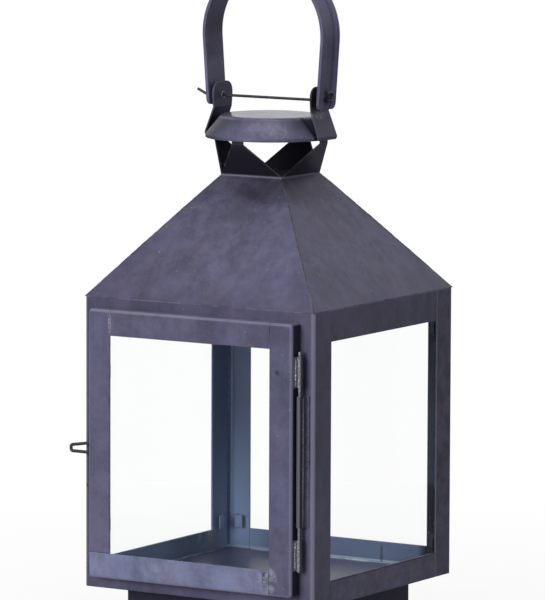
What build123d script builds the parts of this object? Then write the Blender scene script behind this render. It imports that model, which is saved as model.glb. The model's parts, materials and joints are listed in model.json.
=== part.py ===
from build123d import *

import os
from math import cos, radians, sin, sqrt, tan

os.makedirs("parts", exist_ok=True)

# A square candle lantern of folded sheet iron: a glazed body on an inset foot, a hipped roof whose four
# panels end in flared vent tabs under a pressed cap, a hinged glass door in front and a swinging bail handle.
# The frame has +Z up and its origin on the ground under the middle of the body. The door is on the -Y side,
# its hinge is towards +X and its wire pull towards -X. All sizes are in millimetres.

# Sheet, glass and the gaps between pieces
sheet = 0.8
fold_radius = 1.5
glass = 2.0
seam = 0.15
running_clearance = 0.05
swing_clearance = 0.35
drop_in_clearance = 0.3

# Foot and body
foot_width = 96.5
foot_height = 21.0
foot_hem = 3.0
foot_flange = 10.0
body_width = 125.0
body_height = 136.0
post_front_flange = 13.0
post_side_flange = 15.0
post_fold_radius = 2.3
bottom_rail_height = 11.6
top_rail_height = 14.3
rail_ledge = 8.0

# Panes and the bent clips that hold them
pane_overlap = 6.0
pane_top_gap = 1.2
clip_sheet = 0.5
clip_gap = 0.15
clip_foot = 4.5
clip_finger = 3.5
clip_height = 6.0
clip_low = 10.5
clip_high = 14.0

# Roof, vent crown and cap
roof_rise = 55.4
crown_width = 33.4
crown_height = 17.1
tab_tip_width = 6.0
tab_upright = 2.3
cap_rim_diameter = 60.8
cap_top_diameter = 46.0
cap_height = 10.6
cap_lip = 1.5
cap_shoulder = 0.8

# Straps that carry the handle, the handle and its wire pin
strap_width = 16.6
strap_neck_width = 15.2
strap_fold_above_cap = 2.4
ear_width = 16.4
ear_to_leg_gap = 2.4
ear_above_pin = 6.5
ear_corner = 5.0
strap_corner = 1.5
pin_above_cap = 7.7
pin_diameter = 1.3
pin_tail_straight = 5.0
pin_tail_length = 5.5
pin_tail_rise = 25.0
pin_bend = 1.2
pin_hook_radius = 1.9
pin_hook_end = 3.2
handle_width = 15.0
handle_arch_radius = 31.4
handle_arch_above_pin = 29.7
handle_lean = 4.0
handle_below_pin = 4.2
handle_hem = 3.8
handle_hem_sheet = 0.7
handle_corner = 3.0

# Door
door_side_margin = 7.2
door_above_body_edge = 5.8
door_below_eave = 4.6
door_depth = 7.2
door_gap = 0.5
door_member = 11.9
door_glass_overlap = 5.0
pull_diameter = 1.5
pull_length = 12.6
pull_above_door_edge = 60.5
pull_root_gap = 5.2
pull_tip_gap = 2.8
pull_tip_flat = 0.6
pull_droop = 1.2
pull_inside = 2.5

# Hinge
hinge_rod_diameter = 1.6
rod_below_lower_leaf = 0.8
rod_above_upper_leaf = 2.3
hinge_sheet = 0.6
hinge_stand_off = 3.5
door_leaf_length = 14.0
door_leaf_reach = 3.2
upper_leaf_below_door_top = 15.1
lower_leaf_above_door_edge = 12.4
post_leaf_above_lower_leaf = 5.9
post_leaf_below_upper_leaf = 3.9

# Levels and half sizes that follow from the sizes above
body_half = body_width / 2
wall_inside = body_half - sheet
post_inside_radius = post_fold_radius - sheet
body_bottom = foot_height
floor_bottom = body_bottom + sheet
floor_top = floor_bottom + sheet
eave = body_bottom + body_height
crown_half = crown_width / 2
crown_fold = eave + roof_rise
cap_rim = crown_fold + crown_height
cap_top = cap_rim + cap_height
cap_rim_radius = cap_rim_diameter / 2
tab_tip = cap_rim + cap_lip / 2
tab_bend = tab_tip - tab_upright
tab_tip_reach = sqrt((cap_rim_radius - sheet - seam) ** 2 - (tab_tip_width / 2) ** 2)
pin_level = cap_top + pin_above_cap
pin_radius = pin_diameter / 2
pin_hole_radius = pin_radius + running_clearance
arch_level = pin_level + handle_arch_above_pin
handle_top = arch_level + handle_arch_radius + sheet + handle_hem_sheet
leg_drop = handle_arch_above_pin - handle_arch_radius * sin(radians(handle_lean))
leg_at_pin = handle_arch_radius * cos(radians(handle_lean)) - leg_drop * tan(radians(handle_lean))
leg_length = (leg_drop + handle_below_pin) / cos(radians(handle_lean))
ear_reach = leg_at_pin - ear_to_leg_gap - sheet
door_half = body_half - door_side_margin
door_bottom = body_bottom + door_above_body_edge
door_top = eave - door_below_eave
door_back = body_half + door_gap
door_front = door_back + door_depth
door_face_inside = door_front - sheet
opening_half = door_half - door_member
opening_bottom = door_bottom + door_member
opening_top = door_top - door_member
hinge_rod_radius = hinge_rod_diameter / 2
knuckle_bore_radius = hinge_rod_radius + running_clearance
knuckle_radius = knuckle_bore_radius + hinge_sheet
hinge_x = door_half + swing_clearance + knuckle_radius
hinge_y = -(body_half + hinge_stand_off)
lower_leaf_bottom = door_bottom + lower_leaf_above_door_edge
lower_leaf_top = lower_leaf_bottom + door_leaf_length
upper_leaf_top = door_top - upper_leaf_below_door_top
upper_leaf_bottom = upper_leaf_top - door_leaf_length
post_leaf_bottom = lower_leaf_top + post_leaf_above_lower_leaf
post_leaf_top = upper_leaf_bottom - post_leaf_below_upper_leaf
rod_bottom = lower_leaf_bottom - rod_below_lower_leaf
rod_top = upper_leaf_top + rod_above_upper_leaf

LOW_CORNER = (Align.MIN, Align.MIN)
BOTTOM_MIDDLE = (Align.CENTER, Align.MIN)
TOUCHING = 0.001
SIDES = {"front": 0, "right": 90, "back": 180, "left": 270}
GLAZED_SIDES = {"right": post_side_flange, "back": post_front_flange, "left": post_side_flange}


def across(angle):
    """Upright plane through the axis, square to the wall at this angle; its x runs inwards from that wall."""
    inwards = Vector(0, 1, 0).rotate(Axis.Z, angle)
    along = Vector(1, 0, 0).rotate(Axis.Z, angle)
    return Plane(origin=(0, 0, 0), x_dir=inwards, z_dir=along)


def facing(angle, distance):
    """Upright plane parallel to the wall at this angle, at a distance out from the axis; its y is height."""
    along = Vector(1, 0, 0).rotate(Axis.Z, angle)
    outwards = Vector(0, -1, 0).rotate(Axis.Z, angle)
    return Plane(origin=(0, 0, 0), x_dir=along, z_dir=outwards).offset(distance)


def level(height, angle=0):
    """Flat plane at a height, turned so that its -y side is the wall at this angle."""
    along = Vector(1, 0, 0).rotate(Axis.Z, angle)
    return Plane(origin=(0, 0, height), x_dir=along, z_dir=(0, 0, 1))


def save(piece, name):
    """Label a finished piece and write it under that name."""
    piece.part.label = name
    export_step(piece.part, f"parts/{name}.step")


# Foot: a folded square skirt with a doubled lower edge and a flange that is soldered under the floor
with BuildPart() as foot:
    with BuildSketch():
        RectangleRounded(foot_width, foot_width, fold_radius)
    extrude(amount=floor_bottom)
    with BuildSketch():
        Rectangle(foot_width - 2 * sheet, foot_width - 2 * sheet)
    extrude(amount=floor_bottom - sheet, mode=Mode.SUBTRACT)
    with BuildSketch():
        Rectangle(foot_width - 2 * foot_flange, foot_width - 2 * foot_flange)
    extrude(amount=floor_bottom, mode=Mode.SUBTRACT)
    with BuildSketch():
        Rectangle(foot_width - 2 * sheet, foot_width - 2 * sheet)
        Rectangle(foot_width - 4 * sheet, foot_width - 4 * sheet, mode=Mode.SUBTRACT)
    extrude(amount=foot_hem)
save(foot, "base_foot")

# Floor: a flat sheet that lies on the ledges of the bottom rails, where the candle stands
with BuildPart() as floor:
    with BuildSketch(level(floor_bottom)):
        floor_width = 2 * (wall_inside - drop_in_clearance)
        RectangleRounded(floor_width, floor_width, post_inside_radius)
    extrude(amount=sheet)
save(floor, "floor_pan")


def corner_post(name, mirror_planes):
    """Sheet bent round a soft fold, drawn at the front left corner and mirrored to the others."""
    with BuildPart() as post:
        with BuildSketch(level(body_bottom)):
            with BuildLine():
                FilletPolyline(
                    (post_front_flange - body_half, -body_half),
                    (-body_half, -body_half),
                    (-body_half, post_side_flange - body_half),
                    radius=post_fold_radius,
                )
                offset(amount=sheet, side=Side.RIGHT)
            make_face()
        extrude(amount=body_height)
        for plane in mirror_planes:
            mirror(about=plane, mode=Mode.REPLACE)
    save(post, name)


corner_post("front_left_post", [])
corner_post("front_right_post", [Plane.YZ])
corner_post("back_left_post", [Plane.XZ])
corner_post("back_right_post", [Plane.YZ, Plane.XZ])


def rail(name, angle, flange, low, height, ledge_low):
    """Angle strip that fills the space between two posts: a flush face and a ledge turned inwards."""
    with BuildPart() as strip:
        with BuildSketch(across(angle)):
            with Locations((-body_half, low)):
                Rectangle(sheet, height, align=LOW_CORNER)
            with Locations((-body_half, ledge_low)):
                Rectangle(rail_ledge, sheet, align=LOW_CORNER)
        extrude(amount=body_half - flange - seam, both=True)
    save(strip, name)


for side, angle in SIDES.items():
    flange = post_front_flange if side in ("front", "back") else post_side_flange
    rail(f"{side}_bottom_rail", angle, flange, body_bottom, bottom_rail_height, body_bottom)
    rail(f"{side}_top_rail", angle, flange, eave - top_rail_height, top_rail_height, eave - sheet)


def pane(name, angle, half_width, outer_face, bottom, top):
    """Flat sheet of glass whose outer face lies against the inside of a frame."""
    with BuildPart() as sheet_of_glass:
        with BuildSketch(facing(angle, outer_face)):
            with Locations((-half_width, bottom)):
                Rectangle(2 * half_width, top - bottom, align=LOW_CORNER)
        extrude(amount=-glass)
    save(sheet_of_glass, name)


def glass_clips(name, angle, half_width, wall, heights):
    """Bent tin clips, two on each upright edge: a foot on the wall, a riser and a finger over the glass."""
    edge = half_width + clip_gap
    finger = -wall + glass + clip_gap
    with BuildPart() as clips:
        for height in heights:
            with BuildSketch(level(height, angle)):
                with BuildLine():
                    Polyline(
                        (edge + clip_foot, -wall),
                        (edge, -wall),
                        (edge, finger),
                        (edge - clip_finger, finger),
                        (edge - clip_finger, finger + clip_sheet),
                        (edge + clip_sheet, finger + clip_sheet),
                        (edge + clip_sheet, -wall + clip_sheet),
                        (edge + clip_foot, -wall + clip_sheet),
                        close=True,
                    )
                make_face()
                mirror(about=Plane.YZ)
            extrude(amount=clip_height)
    save(clips, name)


pane_top = eave - sheet - pane_top_gap
pane_clip_heights = (floor_top + clip_low, pane_top - clip_high - clip_height)
for side, flange in GLAZED_SIDES.items():
    pane_half = body_half - flange + pane_overlap
    pane(f"{side}_pane", SIDES[side], pane_half, wall_inside, floor_top, pane_top)
    glass_clips(f"{side}_pane_clips", SIDES[side], pane_half, wall_inside, pane_clip_heights)


def roof_panel(name, angle):
    """Roof slope and vent tab of one sheet: in to the crown fold, out to the cap, upright inside its lip."""
    eave_run = body_half - crown_half
    overrun = 2 * sheet
    with BuildPart() as panel:
        with BuildSketch(across(angle)):
            with BuildLine():
                Polyline(
                    (-body_half - overrun * eave_run / roof_rise, eave - overrun),
                    (-crown_half, crown_fold),
                    (-tab_tip_reach, tab_bend),
                    (-tab_tip_reach, tab_tip),
                )
                offset(amount=sheet, side=Side.RIGHT, kind=Kind.INTERSECTION)
            make_face()
        extrude(amount=body_half, both=True)
        with BuildSketch(level(0, angle)):
            with BuildLine():
                Polyline(
                    (0, -seam),
                    (-body_width, -body_width - seam),
                    (body_width, -body_width - seam),
                    close=True,
                )
            make_face()
        extrude(amount=tab_tip, mode=Mode.INTERSECT)
        with BuildSketch(facing(angle, 0)):
            with BuildLine():
                Polyline(
                    (-body_half, eave),
                    (body_half, eave),
                    (crown_half, crown_fold),
                    (tab_tip_width / 2, tab_bend),
                    (tab_tip_width / 2, tab_tip),
                    (-tab_tip_width / 2, tab_tip),
                    (-tab_tip_width / 2, tab_bend),
                    (-crown_half, crown_fold),
                    close=True,
                )
            make_face()
        extrude(amount=body_half, mode=Mode.INTERSECT)
    save(panel, name)


for side, angle in SIDES.items():
    roof_panel(f"{side}_roof_panel", angle)

# Cap: a shallow pressed dish with a sloping skirt and a short upright lip over the four tab tips
with BuildPart() as cap:
    with BuildSketch(Plane.XZ):
        with BuildLine():
            Polyline(
                (0, cap_top),
                (cap_top_diameter / 2, cap_top),
                (cap_rim_radius, cap_rim + cap_lip),
                (cap_rim_radius, cap_rim),
            )
            offset(amount=sheet, side=Side.RIGHT, kind=Kind.INTERSECTION)
        make_face()
    revolve(axis=Axis.Z)
    shoulder = cap.edges().filter_by(GeomType.CIRCLE).group_by(Axis.Z)[-1]
    chamfer(shoulder, cap_shoulder)
save(cap, "vent_cap")


def handle_strap(name, mirror_planes):
    """Strap soldered to the lip of the cap: it leans in to a fold above the cap and ends in a pierced ear."""
    strap_fold = cap_top + strap_fold_above_cap
    ear_top = pin_level + ear_above_pin
    with BuildPart() as strap:
        with BuildSketch(Plane.XZ):
            with BuildLine():
                Polyline(
                    (cap_rim_radius, cap_rim),
                    (cap_rim_radius, cap_rim + cap_lip),
                    (ear_reach, strap_fold),
                    (ear_reach, ear_top),
                )
                offset(amount=sheet, side=Side.RIGHT, kind=Kind.INTERSECTION)
            make_face()
        extrude(amount=max(strap_width, ear_width), both=True)
        with BuildSketch(Plane.YZ) as outline:
            with BuildLine():
                Polyline(
                    (-strap_width / 2, cap_rim),
                    (strap_width / 2, cap_rim),
                    (strap_neck_width / 2, strap_fold),
                    (ear_width / 2, pin_level),
                    (ear_width / 2, ear_top),
                    (-ear_width / 2, ear_top),
                    (-ear_width / 2, pin_level),
                    (-strap_neck_width / 2, strap_fold),
                    close=True,
                )
            make_face()
            fillet(outline.vertices().group_by(Axis.Y)[-1], ear_corner)
            fillet(outline.vertices().group_by(Axis.Y)[0], strap_corner)
        extrude(amount=body_half, mode=Mode.INTERSECT)
        with BuildSketch(Plane.YZ):
            with Locations((0, pin_level)):
                Circle(pin_hole_radius)
        extrude(amount=body_half, mode=Mode.SUBTRACT)
        for plane in mirror_planes:
            mirror(about=plane, mode=Mode.REPLACE)
    save(strap, name)


handle_strap("right_handle_strap", [])
handle_strap("left_handle_strap", [Plane.YZ])

# Handle pin: a wire through both ears and both legs, with a bent tail on the left and a hook on the right
hook_x = leg_at_pin + sheet + handle_hem_sheet + swing_clearance + pin_radius
tail_bend_x = -(leg_at_pin + sheet + pin_tail_straight)
tail_end = (
    tail_bend_x - pin_tail_length * cos(radians(pin_tail_rise)),
    0,
    pin_level + pin_tail_length * sin(radians(pin_tail_rise)),
)
hook_level = pin_level + pin_hook_radius
bend_start = Vector(hook_x - pin_bend, 0, pin_level)


def on_bend(angle):
    """Point of the quarter bend that turns the wire from its straight run towards the hook."""
    turn = radians(angle)
    return bend_start + Vector(pin_bend * sin(turn), pin_bend * (1 - cos(turn)), 0)


def on_hook(angle):
    """Point of the hook at an angle from its lowest point, where the bend ends."""
    turn = radians(angle)
    return Vector(hook_x, pin_bend + pin_hook_radius * sin(turn), hook_level - pin_hook_radius * cos(turn))


with BuildPart() as pin:
    with BuildLine() as wire:
        FilletPolyline(tail_end, (tail_bend_x, 0, pin_level), bend_start, radius=pin_bend)
        ThreePointArc(bend_start, on_bend(45), on_bend(90))
        ThreePointArc(on_hook(0), on_hook(90), on_hook(180))
        Line(on_hook(180), on_hook(180) - Vector(0, pin_hook_end, 0))
    with BuildSketch(Plane(origin=wire.line @ 0, z_dir=wire.line % 0)):
        Circle(pin_radius)
    sweep()
save(pin, "handle_pin")


def horseshoe(plane, inner_radius, thickness):
    """Side view of a bent strip: an arch and two straight legs that lean in towards their feet."""
    with BuildSketch(plane) as band:
        with BuildLine():
            curves = [
                CenterArc((0, arch_level), radius, -handle_lean, 180 + 2 * handle_lean)
                for radius in (inner_radius, inner_radius + thickness)
            ]
            right_legs = [PolarLine(curve @ 0, leg_length, -90 - handle_lean) for curve in curves]
            left_legs = [PolarLine(curve @ 1, leg_length, -90 + handle_lean) for curve in curves]
            Line(right_legs[0] @ 1, right_legs[1] @ 1)
            Line(left_legs[0] @ 1, left_legs[1] @ 1)
        make_face()
    return band.sketch


# Handle: a horseshoe of strip whose two long edges are folded back flat on the outside
with BuildPart() as handle:
    extrude(horseshoe(Plane.XZ, handle_arch_radius, sheet), amount=handle_width / 2, both=True)
    for hem_edge in (handle_width / 2, handle_hem - handle_width / 2):
        hem = horseshoe(Plane.XZ.offset(hem_edge), handle_arch_radius + sheet, handle_hem_sheet)
        extrude(hem, amount=-handle_hem)
    with BuildSketch(Plane.YZ) as outline:
        with Locations((0, pin_level - handle_below_pin)):
            Rectangle(handle_width, handle_top - pin_level + handle_below_pin, align=BOTTOM_MIDDLE)
        fillet(outline.vertices().group_by(Axis.Y)[0], handle_corner)
    extrude(amount=body_half, both=True, mode=Mode.INTERSECT)
    with BuildSketch(Plane.YZ):
        with Locations((0, pin_level)):
            Circle(pin_hole_radius)
    extrude(amount=body_half, both=True, mode=Mode.SUBTRACT)
save(handle, "handle")


def on_outline(point):
    """How many sides of the door's outline this point lies on."""
    sides = (abs(point.X) - door_half, point.Z - door_bottom, point.Z - door_top)
    return sum(abs(distance) < TOUCHING for distance in sides)


def is_outer_fold(edge):
    """True for an edge round the door's front face, and for one that runs back from its corners."""
    middle = edge.center()
    if middle.Y < -door_face_inside:
        return on_outline(middle) == 1
    return on_outline(middle) == 2


def door_member_piece(name, left, right, bottom, top, wires=()):
    """Folded tray: a flat face, a side turned back wherever it reaches the outline, and holes for wires."""
    with BuildPart() as member:
        with BuildSketch(Plane.XZ.offset(door_back)):
            with Locations((left, bottom)):
                Rectangle(right - left, top - bottom, align=LOW_CORNER)
        extrude(amount=door_depth)
        fillet(member.edges().filter_by(is_outer_fold), fold_radius)
        pocket_left = left + (sheet if left == -door_half else 0)
        pocket_right = right - (sheet if right == door_half else 0)
        pocket_bottom = bottom + (sheet if bottom == door_bottom else 0)
        pocket_top = top - (sheet if top == door_top else 0)
        with BuildSketch(Plane.XZ.offset(door_back)):
            with Locations((pocket_left, pocket_bottom)):
                Rectangle(pocket_right - pocket_left, pocket_top - pocket_bottom, align=LOW_CORNER)
        extrude(amount=door_depth - sheet, mode=Mode.SUBTRACT)
        for wire_start, wire_end in wires:
            with BuildSketch(Plane(origin=wire_start, z_dir=wire_end - wire_start)):
                Circle(pull_radius + running_clearance)
            extrude(amount=pull_length, mode=Mode.SUBTRACT)
    save(member, name)


# Wire pull: a hairpin whose two ends go through the left side of the door and are soldered there
pull_radius = pull_diameter / 2
pull_y = -(door_back + door_depth / 2)
pull_level = door_bottom + pull_above_door_edge
pull_end_x = -(door_half - sheet - pull_inside)
pull_tip_x = -(door_half + pull_length - pull_radius)
upper_root = Vector(pull_end_x, pull_y, pull_level + pull_root_gap / 2)
lower_root = Vector(pull_end_x, pull_y, pull_level - pull_root_gap / 2)
upper_tip = Vector(pull_tip_x, pull_y, pull_level - pull_droop + pull_tip_gap / 2)
lower_tip = Vector(pull_tip_x, pull_y, pull_level - pull_droop - pull_tip_gap / 2)
pull_legs = ((upper_root, upper_tip), (lower_root, lower_tip))
pull_bend = (pull_tip_gap - pull_tip_flat) / 2
with BuildPart() as pull:
    with BuildLine() as wire:
        FilletPolyline(upper_root, upper_tip, lower_tip, lower_root, radius=pull_bend)
    with BuildSketch(Plane(origin=wire.line @ 0, z_dir=wire.line % 0)):
        Circle(pull_radius)
    sweep()
save(pull, "door_pull")

# Door frame: the bottom rail runs under the left stile, and the other corners are butted against the stiles
door_member_piece("door_left_stile", -door_half, -opening_half, opening_bottom + seam, door_top, pull_legs)
door_member_piece("door_right_stile", opening_half, door_half, door_bottom, door_top)
door_member_piece("door_top_rail", -opening_half + seam, opening_half - seam, opening_top, door_top)
door_member_piece("door_bottom_rail", -door_half, opening_half - seam, door_bottom, opening_bottom)

# Door glass and its clips, which lie behind the faces of the frame
door_glass_half = opening_half + door_glass_overlap
door_glass_bottom = opening_bottom - door_glass_overlap
door_glass_top = opening_top + door_glass_overlap
door_clip_heights = (opening_bottom + clip_low, opening_top - clip_high - clip_height)
pane("door_glass", 0, door_glass_half, door_face_inside, door_glass_bottom, door_glass_top)
glass_clips("door_glass_clips", 0, door_glass_half, door_face_inside, door_clip_heights)

# Hinge rod: one straight wire that stands in the rolled knuckles of the post leaf and of both door leaves
with BuildPart() as rod:
    with BuildSketch(level(rod_bottom)):
        with Locations((hinge_x, hinge_y)):
            Circle(hinge_rod_radius)
    extrude(amount=rod_top - rod_bottom)
save(rod, "hinge_rod")


def hinge_leaf(name, bottom, top, plates):
    """Strip rolled into a knuckle round the rod; each plate is the low corner and size of a flat part."""
    with BuildPart() as leaf:
        with BuildSketch(level(bottom)):
            with Locations((hinge_x, hinge_y)):
                Circle(knuckle_radius)
            for corner, size in plates:
                with Locations(corner):
                    Rectangle(*size, align=LOW_CORNER)
            with Locations((hinge_x, hinge_y)):
                Circle(knuckle_bore_radius, mode=Mode.SUBTRACT)
        extrude(amount=top - bottom)
    save(leaf, name)


door_plate = ((door_half, hinge_y - door_leaf_reach), (hinge_sheet, door_leaf_reach))
hinge_leaf("upper_hinge_leaf", upper_leaf_bottom, upper_leaf_top, [door_plate])
hinge_leaf("lower_hinge_leaf", lower_leaf_bottom, lower_leaf_top, [door_plate])
web_x = hinge_x + knuckle_bore_radius
web = ((web_x, hinge_y), (hinge_sheet, hinge_stand_off))
post_plate = ((web_x, -body_half - hinge_sheet), (body_half - post_fold_radius - web_x, hinge_sheet))
hinge_leaf("hinge_post_leaf", post_leaf_bottom, post_leaf_top, [web, post_plate])
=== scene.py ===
# %% [markdown]
# This lesson dresses a square candle lantern of folded sheet iron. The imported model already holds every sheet,
# pane, wire and hinge at its real size, so the work here is finish: worn and sooty blackened iron, clear
# glass, solder along the joints, soft studio light and a camera. Everything is in metres, with +Z up and the
# door on the -Y side, so a piece that is worked out from the model's own sizes needs no fitting.

# %% Load the lantern's frame
import json
import math

import bmesh
import bpy
import numpy as np
from mathutils import Matrix, Vector


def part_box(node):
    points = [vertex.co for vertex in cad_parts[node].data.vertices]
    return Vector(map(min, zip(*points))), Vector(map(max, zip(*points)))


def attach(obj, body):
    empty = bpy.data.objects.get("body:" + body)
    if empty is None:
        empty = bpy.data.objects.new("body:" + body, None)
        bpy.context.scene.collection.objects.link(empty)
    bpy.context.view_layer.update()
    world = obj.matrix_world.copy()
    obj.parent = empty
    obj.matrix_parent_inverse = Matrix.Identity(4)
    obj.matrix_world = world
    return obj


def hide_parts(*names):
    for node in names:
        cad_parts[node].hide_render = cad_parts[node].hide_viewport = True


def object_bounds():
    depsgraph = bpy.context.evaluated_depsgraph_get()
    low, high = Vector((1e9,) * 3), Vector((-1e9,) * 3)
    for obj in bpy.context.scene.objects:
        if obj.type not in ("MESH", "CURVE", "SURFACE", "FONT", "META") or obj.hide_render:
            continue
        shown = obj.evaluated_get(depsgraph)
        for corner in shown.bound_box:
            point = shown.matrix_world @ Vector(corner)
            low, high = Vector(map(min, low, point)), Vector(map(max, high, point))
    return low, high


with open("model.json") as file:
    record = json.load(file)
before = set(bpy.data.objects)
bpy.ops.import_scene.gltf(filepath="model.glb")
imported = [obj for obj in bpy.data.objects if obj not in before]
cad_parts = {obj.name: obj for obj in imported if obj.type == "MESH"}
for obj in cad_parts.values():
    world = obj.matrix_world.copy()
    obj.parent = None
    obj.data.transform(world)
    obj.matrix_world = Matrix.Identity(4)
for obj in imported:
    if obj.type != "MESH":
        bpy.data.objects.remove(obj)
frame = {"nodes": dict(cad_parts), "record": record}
nodes = frame["nodes"]
record = frame["record"]
door_joint, handle_joint = record["behaviour"]["joints"]
cad_low, cad_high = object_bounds()

# %% [markdown]
# A product photograph of a small thing is usually taken from far away with a long lens, which keeps upright
# edges upright. The camera is described here the way a photographer would do it: how far round the lantern,
# how high, how far off, and the tilt of the frame. Its three axes then follow from those angles, and become
# the columns of its matrix. The picture is 545 by 600, so the 36 mm sensor lies along the picture's height.

# %% Place the camera
camera_azimuth = math.radians(31.837)
camera_elevation = math.radians(6.853)
camera_roll = math.radians(0.213)
camera_distance = 2.73602
aim_height = 0.15296
aim_sideways = 0.001147
focal_length = 351.57
sensor_size = 36.0
view_limit = 60.0

sin_a, cos_a = math.sin(camera_azimuth), math.cos(camera_azimuth)
sin_e, cos_e = math.sin(camera_elevation), math.cos(camera_elevation)
level_right = Vector((cos_a, sin_a, 0))
level_up = Vector((-sin_a * sin_e, cos_a * sin_e, cos_e))
backwards = Vector((sin_a * cos_e, -cos_a * cos_e, sin_e))
camera_right = level_right * math.cos(camera_roll) + level_up * math.sin(camera_roll)
camera_up = level_up * math.cos(camera_roll) - level_right * math.sin(camera_roll)
camera_place = level_right * aim_sideways + Vector((0, 0, aim_height)) + backwards * camera_distance

lens = bpy.data.cameras.new("studio_camera")
lens.lens = focal_length
lens.sensor_width = sensor_size
lens.clip_end = view_limit
camera = bpy.data.objects.new("studio_camera", lens)
bpy.context.scene.collection.objects.link(camera)
turn = Matrix((camera_right, camera_up, backwards)).transposed().to_4x4()
camera.matrix_world = Matrix.Translation(camera_place) @ turn
bpy.context.scene.camera = camera
print("camera at", [round(v, 3) for v in camera_place])

# %% [markdown]
# A material in Blender is a graph of nodes, and long sums are tiresome to wire by hand. The class below holds
# one socket of such a graph. Adding, subtracting, multiplying or dividing it in Python adds a Math node, so
# that a mask can be written as an ordinary expression. Every other node is made by one method, add, which
# takes the node's type, its settings, and the values or links of its sockets.


# %% Write shader sums as Python
class Wire:
    """A socket of a node tree. Sums with numbers or other wires add Math nodes to the tree."""

    def __init__(self, tree, socket=None):
        self.tree = tree
        self.socket = socket

    def add(self, kind, settings=None, sockets=None, output=0):
        """Add a node: its settings first, then the values or links of its sockets; returns one output."""
        node = self.tree.nodes.new(kind)
        for name, value in (settings or {}).items():
            setattr(node, name, value)
        for name, value in (sockets or {}).items():
            if isinstance(value, Wire):
                self.tree.links.new(value.socket, node.inputs[name])
            else:
                node.inputs[name].default_value = value
        return Wire(self.tree, node.outputs[output])

    def math(self, operation, *values):
        return self.add("ShaderNodeMath", {"operation": operation}, dict(enumerate(values)))

    def __add__(self, other):
        return self.math("ADD", self, other)

    def __sub__(self, other):
        return self.math("SUBTRACT", self, other)

    def __mul__(self, other):
        return self.math("MULTIPLY", self, other)

    def __truediv__(self, other):
        return self.math("DIVIDE", self, other)

    def __rsub__(self, other):
        return self.math("SUBTRACT", other, self)

    __radd__ = __add__
    __rmul__ = __mul__

    def __abs__(self):
        return self.math("ABSOLUTE", self)

    def most(self, other):
        """The larger of two values."""
        return self.math("MAXIMUM", self, other)

    def step(self, low, high):
        """Smooth step: 0 below low, 1 above high and an S-shaped rise between them."""
        settings = {"interpolation_type": "SMOOTHSTEP"}
        return self.add("ShaderNodeMapRange", settings, {"Value": self, "From Min": low, "From Max": high})

    def blend(self, low, high):
        """Colour that goes from low to high as this value goes from 0 to 1."""
        sockets = {0: self, 6: low, 7: high}
        return self.add("ShaderNodeMix", {"data_type": "RGBA"}, sockets, output=2)


# %% [markdown]
# Every finish starts in the same way, with one Principled shader and the place on the piece. The place comes
# from Object coordinates, in metres, so that a pattern stays where it is when the door or the handle swings.
# Noise at a chosen scale gives clouds, and noise on a turned and stretched place gives streaks.


# %% Start a material
def colour(red, green, blue):
    return (red, green, blue, 1.0)


def start_material(name):
    """A new material with one Principled shader: returns it, its shader and the place on the piece."""
    material = bpy.data.materials.new(name)
    material.use_nodes = True
    tree = material.node_tree
    shader = tree.nodes["Principled BSDF"]
    place = Wire(tree).add("ShaderNodeTexCoord", output="Object")
    return material, shader, place


def feed(shader, name, value):
    """Give a shader's socket a constant, or link a wire to it."""
    if isinstance(value, Wire):
        value.tree.links.new(value.socket, shader.inputs[name])
    else:
        shader.inputs[name].default_value = value


def noise(place, scale, detail=3.0, roughness=0.5):
    """Cloudy value near 0.5; scale is how many clouds fit into a metre."""
    sockets = {"Vector": place, "Scale": scale, "Detail": detail, "Roughness": roughness}
    return place.add("ShaderNodeTexNoise", None, sockets)


def stretched(place, turn_degrees, scale):
    """The same place, turned and stretched, so that a round pattern becomes a streaky one."""
    rotation = [math.radians(angle) for angle in turn_degrees]
    return place.add("ShaderNodeMapping", None, {"Vector": place, "Rotation": rotation, "Scale": scale})


# %% [markdown]
# Smoke, solder, fingers and rags leave their marks in certain places. An image could be painted for them, but
# every sheet would have to be unwrapped first. A mask needs no unwrapping: it is a value worked out from the
# place, 1 where a mark shows and 0 elsewhere. A level with a soft edge gives halves and bands, an ellipsoid
# gives a spot, and noise breaks a spot up into a stain or makes it an uneven smudge. A touch is such a mask
# with its colour and its strength, and touches are laid over each other in their order.


# %% Mark places on the lantern
def separate(place):
    """The three coordinates of a place or a direction."""
    first = place.add("ShaderNodeSeparateXYZ", None, {"Vector": place})
    return [Wire(place.tree, socket) for socket in first.socket.node.outputs]


def above(value, level, blur):
    """0 below a level and 1 above it, with a soft edge that reaches blur to either side."""
    return value.step(level - blur, level + blur)


def below(value, level, blur):
    """1 below a level and 0 above it, with a soft edge that reaches blur to either side."""
    return 1 - above(value, level, blur)


def spot(place, centre, half_sizes):
    """Soft mask: 1 in the middle of an ellipsoid, falling to 0 at its half sizes along x, y and z."""
    total = 0
    for value, middle, half in zip(separate(place), centre, half_sizes):
        share = (value - middle) / half
        total = share * share + total
    return (1 - total).step(0.0, 0.7)


def stain(centre, half_sizes, scale):
    """Mask of a spot that noise breaks into patches; scale is how many patches fit into a metre."""
    def mask(place):
        return spot(place, centre, half_sizes) * noise(place, scale, 6.0, 0.7).step(0.40, 0.66)
    return mask


def smudge(centre, half_sizes, scale=70.0):
    """Mask of a soft spot that noise makes a little uneven; scale is as for a stain."""
    def mask(place):
        return spot(place, centre, half_sizes) * noise(place, scale, 6.0, 0.65).step(0.22, 0.68)
    return mask


def pit(centre, radius):
    """Mask of a small round pit."""
    def mask(place):
        return spot(place, centre, (radius, radius, radius))
    return mask


def touched(place, tone, touches):
    """A tone with touches laid over it; each is a mask, its colour and its strength."""
    for mask, touch_colour, strength in touches:
        tone = (mask(place) * strength).blend(tone, colour(*touch_colour))
    return tone


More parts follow.
